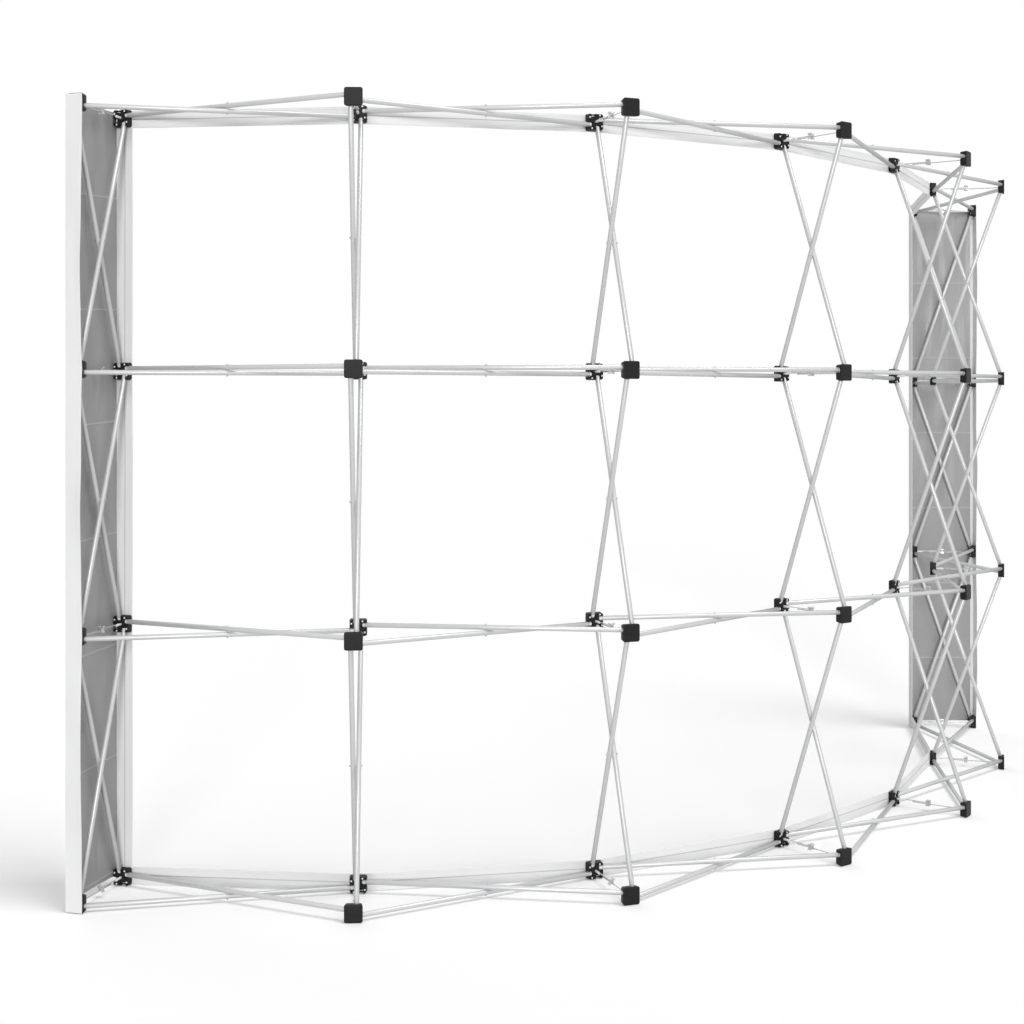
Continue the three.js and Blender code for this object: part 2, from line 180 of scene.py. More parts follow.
class Nodes:
    """A material's node tree, with short calls to add and link nodes."""

    def __init__(self, name):
        self.material = bpy.data.materials.new(name)
        self.material.use_nodes = True
        self.tree = self.material.node_tree
        self.shader = self.tree.nodes["Principled BSDF"]
        self.coords = None

    def add(self, kind, **settings):
        node = self.tree.nodes.new(kind)
        for key, value in settings.items():
            setattr(node, key, value)
        return node

    def link(self, source, target):
        self.tree.links.new(source, target)

    def coord(self, kind="Object"):
        if self.coords is None:
            self.coords = self.add("ShaderNodeTexCoord")
        return self.coords.outputs[kind]

    def scaled(self, source, scale):
        mapping = self.add("ShaderNodeMapping")
        mapping.inputs["Scale"].default_value = scale
        self.link(source, mapping.inputs["Vector"])
        return mapping.outputs["Vector"]

    def noise(self, vector, scale, detail, roughness=0.5):
        node = self.add("ShaderNodeTexNoise")
        node.inputs["Scale"].default_value = scale
        node.inputs["Detail"].default_value = detail
        node.inputs["Roughness"].default_value = roughness
        self.link(vector, node.inputs["Vector"])
        return node.outputs["Fac"]

    def math(self, operation, *values):
        node = self.add("ShaderNodeMath", operation=operation)
        for socket, value in zip(node.inputs, values):
            if isinstance(value, (int, float)):
                socket.default_value = value
            else:
                self.link(value, socket)
        return node.outputs["Value"]

    def ramp(self, factor, start, end):
        """Grey ramp between two (position, value) stops."""
        node = self.add("ShaderNodeValToRGB")
        for element, (position, value) in zip(node.color_ramp.elements, (start, end)):
            element.position = position
            element.color = (value, value, value, 1)
        self.link(factor, node.inputs["Fac"])
        return node.outputs["Color"]

    def range(self, factor, low, high, new_low, new_high):
        node = self.add("ShaderNodeMapRange")
        for name, value in (
            ("From Min", low),
            ("From Max", high),
            ("To Min", new_low),
            ("To Max", new_high),
        ):
            node.inputs[name].default_value = value
        self.link(factor, node.inputs["Value"])
        return node.outputs["Result"]

    def mix(self, factor, first, second):
        node = self.add("ShaderNodeMix", data_type="RGBA")
        self.link(factor, node.inputs[0])
        for socket, value in ((node.inputs[6], first), (node.inputs[7], second)):
            if isinstance(value, tuple):
                socket.default_value = (*value, 1)
            else:
                self.link(value, socket)
        return node.outputs[2]

    def bump(self, height, distance, strength):
        node = self.add("ShaderNodeBump")
        node.inputs["Strength"].default_value = strength
        node.inputs["Distance"].default_value = distance
        self.link(height, node.inputs["Height"])
        return node.outputs["Normal"]

    def set(self, **values):
        for name, value in values.items():
            socket = self.shader.inputs[name.replace("_", " ")]
            if isinstance(value, bpy.types.NodeSocket):
                self.link(value, socket)
            elif isinstance(value, tuple):
                socket.default_value = (*value, 1)
            else:
                socket.default_value = value
        return self.material


def aluminium():
    """Satin anodised tube: fine drawn lines along it, with faint cloudy patches."""
    n = Nodes("anodised_aluminium")
    lines = n.noise(n.scaled(n.coord(), (1, 1, 0.02)), 1600, 4, 0.6)
    clouds = n.noise(n.scaled(n.coord(), (1, 1, 0.25)), 30, 3)
    base = n.mix(clouds, (0.54, 0.545, 0.55), (0.62, 0.625, 0.63))
    colour = n.mix(n.ramp(lines, (0.35, 0), (0.75, 0.2)), base, (0.7, 0.705, 0.71))
    rough = n.range(lines, 0.3, 0.7, 0.3, 0.42)
    return n.set(
        Base_Color=colour,
        Metallic=0.3,
        Specular_Tint=(0.05, 0.05, 0.05),
        Specular_IOR_Level=0.2,
        Roughness=rough,
        Normal=n.bump(lines, 0.00002, 0.5),
    )


def moulded(name, dark, light, roughness, gloss=0.5):
    """Injection-moulded plastic: fine grain, and faint handling marks."""
    n = Nodes(name)
    fine = n.noise(n.coord(), 1800, 2)
    marks = n.noise(n.scaled(n.coord(), (1, 1, 2.5)), 90, 5, 0.65)
    colour = n.mix(n.ramp(marks, (0.4, 0), (0.75, 1)), dark, light)
    rough = n.range(marks, 0.3, 0.7, roughness - 0.06, roughness + 0.08)
    normal = n.bump(fine, 0.00005, 0.6)
    return n.set(Base_Color=colour, Roughness=rough, Normal=normal, Specular_IOR_Level=gloss)


def plated_steel():
    """Bright plated wire, pins and bolts, slightly cloudy."""
    n = Nodes("plated_steel")
    clouds = n.noise(n.coord(), 160, 4)
    colour = n.mix(clouds, (0.42, 0.42, 0.43), (0.6, 0.6, 0.61))
    rough = n.range(clouds, 0.3, 0.7, 0.25, 0.4)
    return n.set(
        Base_Color=colour,
        Metallic=0.7,
        Roughness=rough,
        Normal=n.bump(n.noise(n.coord(), 900, 2), 0.00002, 0.5),
    )


def uv_part(n, uv, axis):
    part = n.add("ShaderNodeSeparateXYZ")
    n.link(uv, part.inputs[0])
    return part.outputs[axis]


def weave(n, uv):
    """Normal of a plain weave over UVs in metres."""
    waves = []
    for axis in (0, 1):
        turns = n.math("MULTIPLY", uv_part(n, uv, axis), math.tau / WEAVE_PITCH)
        waves.append(n.math("SINE", turns))
    return n.bump(n.math("MULTIPLY", *waves), WEAVE_DEPTH, 0.4)


def line_mask(n, value, centre, half):
    """1 within `half` of `centre`, with soft edges."""
    gap = n.math("ABSOLUTE", n.math("SUBTRACT", value, centre))
    return n.range(gap, half * 0.6, half * 1.4, 1, 0)


def border_fabric():
    """White band, hemmed along both edges, with a line of stitches along its middle."""
    n = Nodes("border_fabric")
    uv = n.coord("UV")
    across = uv_part(n, uv, 1)
    seam = line_mask(n, across, SEAM_ACROSS * 0.001, SEAM_HALF)
    hem = line_mask(n, across, HEM_WIDTH * 0.001, HEM_LINE_HALF)
    clouds = n.noise(n.coord(), 7, 4)
    cloth = n.mix(clouds, (0.75, 0.75, 0.755), (0.82, 0.82, 0.825))
    cloth = n.mix(n.math("MULTIPLY", seam, 0.45), cloth, (0.45, 0.45, 0.46))
    cloth = n.mix(n.math("MULTIPLY", hem, 0.12), cloth, (0.4, 0.4, 0.41))
    return n.set(Base_Color=cloth, Roughness=0.85, Normal=weave(n, uv), Sheen_Weight=0.15)


def white_fabric():
    """Plain white cloth of the end panels."""
    n = Nodes("white_fabric")
    clouds = n.noise(n.coord(), 5, 4)
    cloth = n.mix(clouds, (0.76, 0.76, 0.765), (0.82, 0.82, 0.825))
    normal = weave(n, n.coord("UV"))
    return n.set(Base_Color=cloth, Roughness=0.7, Normal=normal, Sheen_Weight=0.1)


def grey_backing():
    """Smooth grey back of the end panel, creased at even heights where it was rolled, with a
    painted highlight along each crease.
    """
    n = Nodes("grey_backing")
    uv = n.coord("UV")
    phase = n.math("FRACT", n.math("DIVIDE", uv_part(n, uv, 1), CREASE_PITCH * 0.001))
    ends = (line_mask(n, phase, end, CREASE_HIGHLIGHT_HALF) for end in (0, 1))
    # painted highlight: a lighter line along each crease, where the fold catches the light
    crease = n.math("MAXIMUM", *ends)
    clouds = n.noise(n.scaled(uv, (9, 1.5, 1)), 1.6, 3)
    cloth = n.mix(clouds, (0.28, 0.275, 0.275), (0.36, 0.355, 0.355))
    # lightens the cloth along each crease as a painted highlight
    cloth = n.mix(n.math("MULTIPLY", crease, 0.7), cloth, (0.5, 0.5, 0.5))
    normal = n.bump(n.noise(n.scaled(uv, (60, 12, 1)), 1.0, 2), 0.002, 0.4)
    return n.set(Base_Color=cloth, Roughness=0.3, Normal=normal)


ALUMINIUM = aluminium()
HUB_PLASTIC = moulded("hub_plastic", (0.007, 0.007, 0.0073), (0.016, 0.016, 0.0165), 0.5, 0.2)
TIP_PLASTIC = moulded("tip_plastic", (0.78, 0.78, 0.78), (0.86, 0.86, 0.86), 0.4)
LOCK_PLASTIC = moulded("lock_plastic", (0.74, 0.745, 0.75), (0.82, 0.825, 0.83), 0.4)
STEEL = plated_steel()
THREAD = moulded("thread", (0.33, 0.33, 0.34), (0.42, 0.42, 0.43), 0.8)
BORDER = border_fabric()
WHITE = white_fabric()
GREY = grey_backing()

# ---- Mesh tools, in millimetres ----


class Shape:
    """Points and faces in millimetres, each face with a material and, for cloth, UVs in metres."""

    def __init__(self):
        self.points = []
        self.faces = []
        self.slots = []
        self.uvs = []

    def add(self, points, faces):
        start = len(self.points)
        self.points.extend(Vector(p) for p in points)
        for face in faces:
            self.faces.append([start + corner for corner in face])
            self.slots.append(0)
            self.uvs.append([(0, 0)] * len(face))
        return self

    def moved(self, matrix):
        self.points = [matrix @ p for p in self.points]
        return self

    def join(self, other, slot_shift=0):
        start = len(self.points)
        self.points.extend(other.points)
        self.faces.extend([start + corner for corner in face] for face in other.faces)
        self.slots.extend(slot + slot_shift for slot in other.slots)
        self.uvs.extend(other.uvs)
        return self

    def mesh(self, name, materials, sharp):
        """A mesh in metres with outward faces, smooth where it turns by less than `sharp`."""
        mesh = bpy.data.meshes.new(name)
        mesh.from_pydata([p * 0.001 for p in self.points], [], self.faces)
        for material in materials:
            mesh.materials.append(material)
        mesh.polygons.foreach_set("material_index", self.slots)
        layer = mesh.uv_layers.new(name="UVMap")
        for polygon, uvs in zip(mesh.polygons, self.uvs):
            for loop, uv in zip(polygon.loop_indices, uvs):
                layer.data[loop].uv = uv
        mesh.polygons.foreach_set("use_smooth", [True] * len(mesh.polygons))
        whole = bmesh.new()
        whole.from_mesh(mesh)
        bmesh.ops.recalc_face_normals(whole, faces=whole.faces)
        whole.to_mesh(mesh)
        whole.free()
        mesh.set_sharp_from_angle(angle=math.radians(sharp))
        return mesh


def loft(outlines):
    """Joins outlines of equal length, given as 3D points, and closes both ends."""
    count = len(outlines[0])
    faces = [list(range(count))[::-1]]
    for ring in range(len(outlines) - 1):
        for step in range(count):
            a = ring * count + step
            b = ring * count + (step + 1) % count
            faces.append([a, b, b + count, a + count])
    last = (len(outlines) - 1) * count
    faces.append([last + step for step in range(count)])
    return Shape().add([p for outline in outlines for p in outline], faces)


def lathe(profile, sides, slots=None):
    """A closed turned solid about +Z from (height, radius) pairs, with a slot for each ring."""
    angles = [math.tau * step / sides for step in range(sides)]
    shape = loft([[(r * math.cos(a), r * math.sin(a), z) for a in angles] for z, r in profile])
    if slots:
        around = [slot for slot in slots for _ in angles]
        shape.slots = [slots[0], *around, slots[-1]]
    return shape


def facing(direction):
    """Turns +Z to the direction."""
    return Vector(direction).to_track_quat("Z", "Y").to_matrix().to_4x4()


def quarter_angles(steps):
    return [math.pi / 2 * step / steps for step in range(steps + 1)]


def rounded_end(z, radius, fillet, inward):
    """Profile of a rounded end face at height z; inward is the direction into the solid."""
    return [
        (z + inward * fillet * (1 - math.sin(a)), radius - fillet * (1 - math.cos(a)))
        for a in quarter_angles(4)
    ]


def corner_arc(half, radius):
    """The top right corner of a rounded square, from its right side round to its top."""
    middle = half - radius
    angles = quarter_angles(5)
    return [(middle + radius * math.cos(a), middle + radius * math.sin(a)) for a in angles]


def quarter_turns(points):
    """The points followed by themselves turned by each further quarter turn."""
    outline = []
    for _ in range(4):
        outline.extend(points)
        points = [(-z, x) for x, z in points]
    return outline


def square_outline(inset):
    return quarter_turns(corner_arc(HALF_HUB - inset, max(HUB_CORNER - inset, 1)))


def pinwheel_outline(hand, bevel, draft):
    """The hub's section between its four slots."""
    half = HALF_HUB - draft - bevel
    middle = -hand * SLOT_OFFSET
    low = middle - SLOT_HALF - bevel
    high = middle + SLOT_HALF + bevel
    floor = HUB_CORE - bevel
    notch = [(high, half), (high, floor), (low, floor), (low, half)]
    return quarter_turns(corner_arc(half, HUB_CORNER - bevel) + notch)


def at_depth(outline, y):
    return [(x, y, z) for x, z in outline]


def object_from(mesh, name, matrix):
    made = bpy.data.objects.new(name, mesh)
    bpy.context.scene.collection.objects.link(made)
    made.matrix_world = in_metres(matrix)
    return made


def cut_boxes(mesh, boxes):
    """The mesh with boxes cut out of it, each as its low and high corner in millimetres."""
    body = bpy.data.objects.new("cut_body", mesh)
    tool_mesh = bpy.data.meshes.new("cut_tool")
    whole = bmesh.new()
    for low, high in boxes:
        size = (Vector(high) - Vector(low)) * 0.001
        middle = (Vector(high) + Vector(low)) * 0.0005
        matrix = Matrix.Translation(middle) @ Matrix.Diagonal((*size, 1))
        bmesh.ops.create_cube(whole, size=1, matrix=matrix)
    whole.to_mesh(tool_mesh)
    whole.free()
    tool = bpy.data.objects.new("cut_tool", tool_mesh)
    for made in (body, tool):
        bpy.context.scene.collection.objects.link(made)
    modifier = body.modifiers.new("cut", "BOOLEAN")
    modifier.operation = "DIFFERENCE"
    modifier.object = tool
    modifier.solver = "EXACT"
    bpy.context.view_layer.update()
    graph = bpy.context.evaluated_depsgraph_get()
    result = bpy.data.meshes.new_from_object(body.evaluated_get(graph))
    for made in (body, tool):
        bpy.data.objects.remove(made)
    return result


# ---- Hubs ----


def hub_body(layer):
    """The four posts round the slots, narrower towards the open face."""
    out = layer["out"]
    face = -out * HUB_LIP
    levels = [
        (face, 0.8, HUB_DRAFT),
        (face + out * 0.3, 0.3, HUB_DRAFT),
        (face + out * 0.9, 0, HUB_DRAFT),
        (out * SLOT_FLOOR / 2, 0, 0.8),
        (out * (SLOT_FLOOR + 1), 0, 0.6),
    ]
    hand = layer["hand"]
    return loft([at_depth(pinwheel_outline(hand, bevel, draft), y) for y, bevel, draft in levels])


def hub_cap(layer):
    """The square cap that closes the slots, with its edge rounded in steps of (depth, inset)."""
    out = layer["out"]
    levels = [
        (SLOT_FLOOR, 0.5),
        (SLOT_FLOOR + 0.4, 0),
        (HUB_OUTER - 2.0, 0),
        (HUB_OUTER - 1.1, 0.35),
        (HUB_OUTER - 0.45, 1.1),
        (HUB_OUTER - 0.1, 2.3),
        (HUB_OUTER, 4.5),
    ]
    return loft([at_depth(square_outline(inset), out * y) for y, inset in levels])


def post_pockets(layer):
    """Shallow pockets in the open face of the posts, on both sides of each rivet."""
    inward = -layer["out"]
    ends = sorted((inward * (HUB_LIP - POCKET_DEPTH), inward * (HUB_LIP + CUT_PAST)))
    boxes = []
    for low, high in POCKET_SPANS:
        corners = [(POST_MIDDLE - POCKET_HALF, low), (POST_MIDDLE + POCKET_HALF, high)]
        for _ in range(4):
            xs = sorted(-layer["hand"] * x for x, z in corners)
            zs = sorted(z for x, z in corners)
            boxes.append(((xs[0], ends[0], zs[0]), (xs[1], ends[1], zs[1])))
            corners = [(-z, x) for x, z in corners]
    return boxes


def hub_rivets(layer):
    """A white rivet head in the middle of each post's open face."""
    inward = -layer["out"]
    rivets = Shape()
    for x, z in quarter_turns([(POST_MIDDLE, RIVET_REACH)]):
        head = lathe([(-1, 2.5), (0.35, 2.5), (0.9, 2.1), (1.15, 1.3), (1.2, 0.5)], 18)
        place = (-layer["hand"] * x, inward * HUB_LIP, z)
        rivets.join(head.moved(Matrix.Translation(place) @ facing((0, inward, 0))))
    return rivets


def hub_pins(layer):
    """The steel pin across each slot."""
    middle = -layer["hand"] * SLOT_OFFSET
    reach = SLOT_HALF + PIN_SEAT
    pin = lathe([(middle - reach, PIN_RADIUS), (middle + reach, PIN_RADIUS)], 14)
    pin.moved(Matrix.Translation((0, 0, PIN_REACH)) @ facing((1, 0, 0)))
    pins = Shape()
    for quarter in range(4):
        turned = Shape().join(pin)
        pins.join(turned.moved(Matrix.Rotation(math.pi / 2 * quarter, 4, "Y")))
    return pins


def lock_wire():
    """The stiff wire from the back hub towards the front one, with the collar at its root."""
    length = FRAME_DEPTH - ROD_TIP_REACH - HUB_LIP + ROD_SEAT
    profile = [(0, ROD_RADIUS), (length - 1, ROD_RADIUS), (length - 0.3, 1.2), (length, 0.5)]
    collar = [(3, 3.4), (5.4, 3.4), (6, 2.8)]
    start = Matrix.Translation((0, ROD_SEAT - HUB_LIP, -ROD_DROP)) @ facing((0, -1, 0))
    return lathe(profile, 16).join(lathe(collar, 20)).moved(start)


def hub_mesh(layer):
    """The whole hub of a layer: the cut body, and its cap, rivets, pins and wire."""
    mesh = hub_body(layer).mesh(f"hub_body_{layer['name']}", [HUB_PLASTIC], 30)
    boxes = post_pockets(layer)
    if layer is FRONT:
        x, z = HINGE_POCKET_HALF
        boxes.append(((-x, HINGE_POCKET_FLOOR, -z), (x, HUB_LIP + CUT_PAST, z)))
    mesh = cut_boxes(mesh, boxes)
    rest = hub_cap(layer).join(hub_rivets(layer), 1).join(hub_pins(layer), 2)
    if layer is BACK:
        rest.join(lock_wire(), 2)
    whole = bmesh.new()
    whole.from_mesh(mesh)
    materials = [HUB_PLASTIC, TIP_PLASTIC, STEEL]
    whole.from_mesh(rest.mesh("hub_rest", materials, 30))
    made = bpy.data.meshes.new(f"hub_{layer['name']}")
    whole.to_mesh(made)
    whole.free()
    for material in materials:
        made.materials.append(material)
    made.set_sharp_from_angle(angle=math.radians(30))
    return made


def make_hubs():
    meshes = {layer["name"]: hub_mesh(layer) for layer in (BACK, FRONT)}
    for layer in (BACK, FRONT):
        for column in range(BAYS + 1):
            for row in range(ROWS):
                place = column_place(column, layer["radius"], row_height(row))
                name = f"hub_{layer['name']}_c{column}_r{row}"
                hub = object_from(meshes[layer["name"]], name, place)
                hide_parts(strand_node(row, column, layer))
                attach(hub, "frame")


# ---- Tubes ----


def pin_place(layer, row, side):
    """The pin in one side of a hub, in its column's frame; side points at it from the hub."""
    shift = layer["hand"] * SLOT_OFFSET
    x, z = side
    return Vector(
        (PIN_REACH * x - shift * z, layer["radius"], row_height(row) + PIN_REACH * z + shift * x)
    )


def tube_mesh(name, span):
    """A round tube with a plastic tip in each end, along +Z from pin to pin and past both."""
    low = -TIP_OVERRUN
    high = span + TIP_OVERRUN
    rim_low = low + TIP_LENGTH
    rim_high = high - TIP_LENGTH
    start = rounded_end(low, TIP_RADIUS, TIP_ROUNDING, 1)[::-1]
    metal = [
        (rim_low, TIP_RADIUS),
        (rim_low, TUBE_RADIUS - 0.2),
        (rim_low + RIM, TUBE_RADIUS),
        (rim_high - RIM, TUBE_RADIUS),
        (rim_high, TUBE_RADIUS - 0.2),
        (rim_high, TIP_RADIUS),
    ]
    end = rounded_end(high, TIP_RADIUS, TIP_ROUNDING, -1)
    slots = [1] * len(start) + [0] * (len(metal) - 1) + [1] * len(end)
    return lathe(start + metal + end, 28, slots).mesh(name, [ALUMINIUM, TIP_PLASTIC], 40)


def put_tube(mesh, name, start, end):
    matrix = Matrix.Translation(start) @ facing((end - start).normalized())
    tube = object_from(mesh, name, matrix)
    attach(tube, "frame")
    return tube


def level_ends(layer, bay, row):
    """Both pins of the level tube that starts in this layer and crosses to the other."""
    other = FRONT if layer is BACK else BACK
    start = column_matrix(bay) @ pin_place(layer, row, (-1, 0))
    return start, column_matrix(bay + 1) @ pin_place(other, row, (1, 0))


def make_level_tubes():
    start, end = level_ends(BACK, 0, 0)
    mesh = tube_mesh("level_tube", (end - start).length)
    for row in range(ROWS):
        for bay in range(BAYS):
            for layer in (BACK, FRONT):
                name = f"level_tube_{layer['name']}_b{bay}_r{row}"
                tube = put_tube(mesh, name, *level_ends(layer, bay, row))
                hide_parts(strand_node(row, bay, layer))


def make_upright_tubes():
    start = pin_place(BACK, 0, (0, 1))
    end = pin_place(FRONT, 1, (0, -1))
    mesh = tube_mesh("upright_tube", (end - start).length)
    for column in range(BAYS + 1):
        for quad in range(ROWS - 1):
            for layer, other in ((BACK, FRONT), (FRONT, BACK)):
                low = column_matrix(column) @ pin_place(layer, quad, (0, 1))
                high = column_matrix(column) @ pin_place(other, quad + 1, (0, -1))
                name = f"upright_tube_{layer['name']}_c{column}_q{quad}"
                tube = put_tube(mesh, name, low, high)
                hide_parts(f"upright_cross_c{column}_q{quad}")


# ---- Pivot bolts where tubes cross ----


def bolt_mesh():
    """A bolt along Z with a domed head, a nut, and a plastic washer between the two tubes."""
    reach = SLOT_OFFSET + TUBE_RADIUS
    shank = [(-reach - 3.4, 1.4), (-reach - 2.9, 2.0), (reach + 2.4, 2.0)]
    head = [
        (reach - 0.4, 3.6),
        (reach + 1.6, 3.5),
        (reach + 2.7, 2.7),
        (reach + 3.3, 1.4),
        (reach + 3.45, 0.5),
    ]
    nut = [(-reach - 2.2, 2.9), (-reach - 1.8, 3.3), (-reach + 0.4, 3.3)]
    washer = [(-0.62, 4.6), (0.62, 4.6)]
    bolt = lathe(shank, 14).join(lathe(head, 18)).join(lathe(nut, 6)).join(lathe(washer, 20), 1)
    return bolt.mesh("pivot_bolt", [STEEL, TIP_PLASTIC], 35)


def level_crossing(bay, row):
    """Where the plans of a bay's two level tubes cross, midway between their heights."""
    (a, b), (c, d) = (level_ends(layer, bay, row) for layer in (BACK, FRONT))
    ab = b - a
    cd = d - c
    ac = c - a
    cross = ab.x * cd.y - ab.y * cd.x
    middle = a + ab * ((ac.x * cd.y - ac.y * cd.x) / cross)
    middle.z = row_height(row)
    return middle


def make_bolts():
    mesh = bolt_mesh()
    for row in range(ROWS):
        for bay in range(BAYS):
            place = Matrix.Translation(level_crossing(bay, row))
            bolt = object_from(mesh, f"level_bolt_b{bay}_r{row}", place)
            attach(bolt, "frame")
    sideways = Matrix.Rotation(math.pi / 2, 4, "Y")
    for column in range(BAYS + 1):
        for quad in range(ROWS - 1):
            middle = BACK_RADIUS - FRAME_DEPTH / 2
            place = column_place(column, middle, row_height(quad + 0.5)) @ sideways
            bolt = object_from(mesh, f"upright_bolt_c{column}_q{quad}", place)
            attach(bolt, "frame")


# ---- Lock arms ----


def clip_outline(inset):
    """Section of the clip over the wire, with a splayed foot and a thumb wing on each side."""
    inside = CLIP_BORE + inset
    outside = CLIP_BORE + CLIP_WALL - inset
    neck = -ROD_DROP - 1 + inset
    ceiling = -ROD_DROP + CLIP_BORE + inset
    roof = -ROD_DROP + CLIP_BORE + CLIP_CROWN - inset
    foot_tip = [(7.2, neck - 5.5 + inset), (8.6 - inset, neck - 4.3)]
    wing_tip = [(9 - inset, roof + 3.2), (7.4, roof + 5 - inset)]
    right = [(inside, ceiling), (inside, neck), *foot_tip]
    right += [(outside, neck + 1.7), (outside, roof - 1.8), *wing_tip]
    left = [(-x, z) for x, z in right][::-1]
    return right + [(0, roof)] + left


def lock_arm_shape():
    """The arm with its hinge at the origin and the back hub in the direction +Y."""
    forward = facing((0, 1, 0))
    barrel_end = ARM_BARREL_END - HINGE_REACH
    barrel = rounded_end(-ARM_ROOT, ARM_RADIUS, 0.8, 1)[::-1] + [
        (barrel_end - 2, ARM_RADIUS),
        (barrel_end - 0.6, 3.0),
        (barrel_end, 2.2),
    ]
    arm = lathe(barrel, 24).moved(forward)
    middle = CLIP_REACH - HINGE_REACH
    bar = lathe([(barrel_end - 2, BAR_RADIUS), (middle, BAR_RADIUS)], 14)
    arm.join(bar.moved(Matrix.Translation((0, 0, BAR_RISE)) @ forward), 1)
    start = middle - CLIP_LENGTH / 2
    end = middle + CLIP_LENGTH / 2
    levels = (
        (start, CLIP_BEVEL),
        (start + CLIP_BEVEL, 0),
        (end - CLIP_BEVEL, 0),
        (end, CLIP_BEVEL),
    )
    clip = loft([at_depth(clip_outline(inset), y) for y, inset in levels])
    return arm.join(clip, 2)


def make_lock_arms():
    mesh = lock_arm_shape().mesh("lock_arm", [LOCK_PLASTIC, STEEL, STEEL], 30)
    for column in range(BAYS + 1):
        for row in range(ROWS):
            node = f"lock_arm_c{column}_r{row}"
            place = column_place(column, FRONT_RADIUS + HINGE_REACH, row_height(row))
            arm = object_from(mesh, f"lock_link_c{column}_r{row}", place)
            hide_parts(node)
            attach(arm, node)


# ---- Fabric ----


def cloth_shape(us, vs, place, uv, slot_of=lambda side, u, v: 0):
    """A sheet with two faces and closed rims over a grid of (u, v), by its own functions.

    place(u, v, side) gives a point of side 0 or 1, uv(u, v) its place on the flat cloth in
    metres, and slot_of(side, u, v) the material slot of the cell around (u, v).
    """
    shape = Shape()
    count = len(vs)
    for side in (0, 1):
        for u in us:
            for v in vs:
                shape.points.append(Vector(place(u, v, side)))
    half = len(us) * count

    def quad(corners, cells, slot):
        shape.faces.append(corners)
        shape.slots.append(slot)
        shape.uvs.append([uv(us[i], vs[j]) for i, j in cells])

    for i in range(len(us) - 1):
        for j in range(count - 1):
            a = i * count + j
            cells = [(i, j), (i + 1, j), (i + 1, j + 1), (i, j + 1)]
            corners = [a, a + count, a + count + 1, a + 1]
            middle = ((us[i] + us[i + 1]) / 2, (vs[j] + vs[j + 1]) / 2)
            quad(corners, cells, slot_of(0, *middle))
            quad([half + c for c in corners][::-1], cells[::-1], slot_of(1, *middle))
    last_i = len(us) - 1
    last_j = count - 1
    rim = [(i, 0) for i in range(last_i)] + [(last_i, j) for j in range(last_j)]
    rim += [(i, last_j) for i in range(last_i, 0, -1)] + [(0, j) for j in range(last_j, 0, -1)]
    for first, second in zip(rim, rim[1:] + rim[:1]):
        a = first[0] * count + first[1]
        b = second[0] * count + second[1]
        slot = slot_of(1, us[first[0]], vs[first[1]])
        quad([a, b, b + half, a + half], [first, second, second, first], slot)
    return shape


def even(low, high, count):
    return [low + (high - low) * step / count for step in range(count + 1)]


def put_cloth(name, shape, materials, body, node, trims=()):
    """Places a piece of cloth and its trims."""
    pieces = [object_from(shape.mesh(name, materials, 40), name, Matrix.Identity(4))]
    for trim_name, trim, material in trims:
        mesh = trim.mesh(trim_name, [material], 40)
        pieces.append(object_from(mesh, trim_name, Matrix.Identity(4)))
    for piece in pieces:
        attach(piece, body)
    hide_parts(node)


# (distance from the band's outer edge, depth from its face at the hubs): a raised hem along
# both edges, and a groove where the stitches pull the cloth in.
BAND_INSIDE = (
    (0, 0.5),
    (0.6, 0),
    (1.4, 0),
    (HEM_WIDTH - 0.8, 0),
    (HEM_WIDTH, 0),
    (HEM_WIDTH + 0.8, 0.45),
    (HEM_WIDTH + 1.6, 0.45),
    (SEAM_ACROSS - 2.8, 0.45),
    (SEAM_ACROSS - 2, 0.45),
    (SEAM_ACROSS - 0.7, 0.9),
    (SEAM_ACROSS + 0.7, 0.9),
    (SEAM_ACROSS + 2, 0.45),
    (SEAM_ACROSS + 2.8, 0.45),
    (BORDER_WIDTH - HEM_WIDTH - 1.6, 0.45),
    (BORDER_WIDTH - HEM_WIDTH - 0.8, 0.45),
    (BORDER_WIDTH - HEM_WIDTH, 0),
    (BORDER_WIDTH - HEM_WIDTH + 0.8, 0),
    (BORDER_WIDTH - 1.4, 0),
    (BORDER_WIDTH - 0.6, 0),
    (BORDER_WIDTH, 0.5),
)
BAND_ACROSS = [across for across, depth in BAND_INSIDE]


def band_depth(across, side):
    """How far the band's surface lies from its solid's face at the hubs, on side 0 or 1."""
    for (a, low), (b, high) in zip(BAND_INSIDE, BAND_INSIDE[1:]):
        if across <= b:
            inside = low + (high - low) * (across - a) / (b - a)
            return FABRIC_THICKNESS - inside if side else inside


def border_band(name, length, segments, point):
    """A band of the border, cut at 45 degrees at both ends, with its line of stitches.

    point(along, across, depth) places a point of the band, in millimetres.
    """

    def along(share, across):
        return across + share * (length - 2 * across)

    def place(share, across, side):
        return point(along(share, across), across, band_depth(across, side))

    def uv(share, across):
        return (along(share, across) * 0.001, across * 0.001)

    shape = cloth_shape(even(0, 1, segments), BAND_ACROSS, place, uv)
    stitches = Shape()
    faces = [(0, 1, 3, 2), (4, 6, 7, 5), (0, 4, 5, 1), (2, 3, 7, 6), (0, 2, 6, 4), (1, 5, 7, 3)]
    seam = length - 2 * SEAM_ACROSS
    count = int(seam / STITCH_PITCH)
    for step in range(count):
        middle = SEAM_ACROSS + (step + 0.5) * seam / count
        for side in (0, 1):
            surface = band_depth(SEAM_ACROSS, side)
            corners = [
                point(middle + a, SEAM_ACROSS + b, surface + c)
                for a in (-STITCH_LENGTH / 2, STITCH_LENGTH / 2)
                for b in (-STITCH_HALF_WIDTH, STITCH_HALF_WIDTH)
                for c in (-STITCH_HALF_HEIGHT, STITCH_HALF_HEIGHT)
            ]
            stitches.add(corners, faces)
    trims = [(f"{name}_stitches", stitches, THREAD)]
    put_cloth(
        name, shape, [BORDER], "frame", "front_border", trims
    )


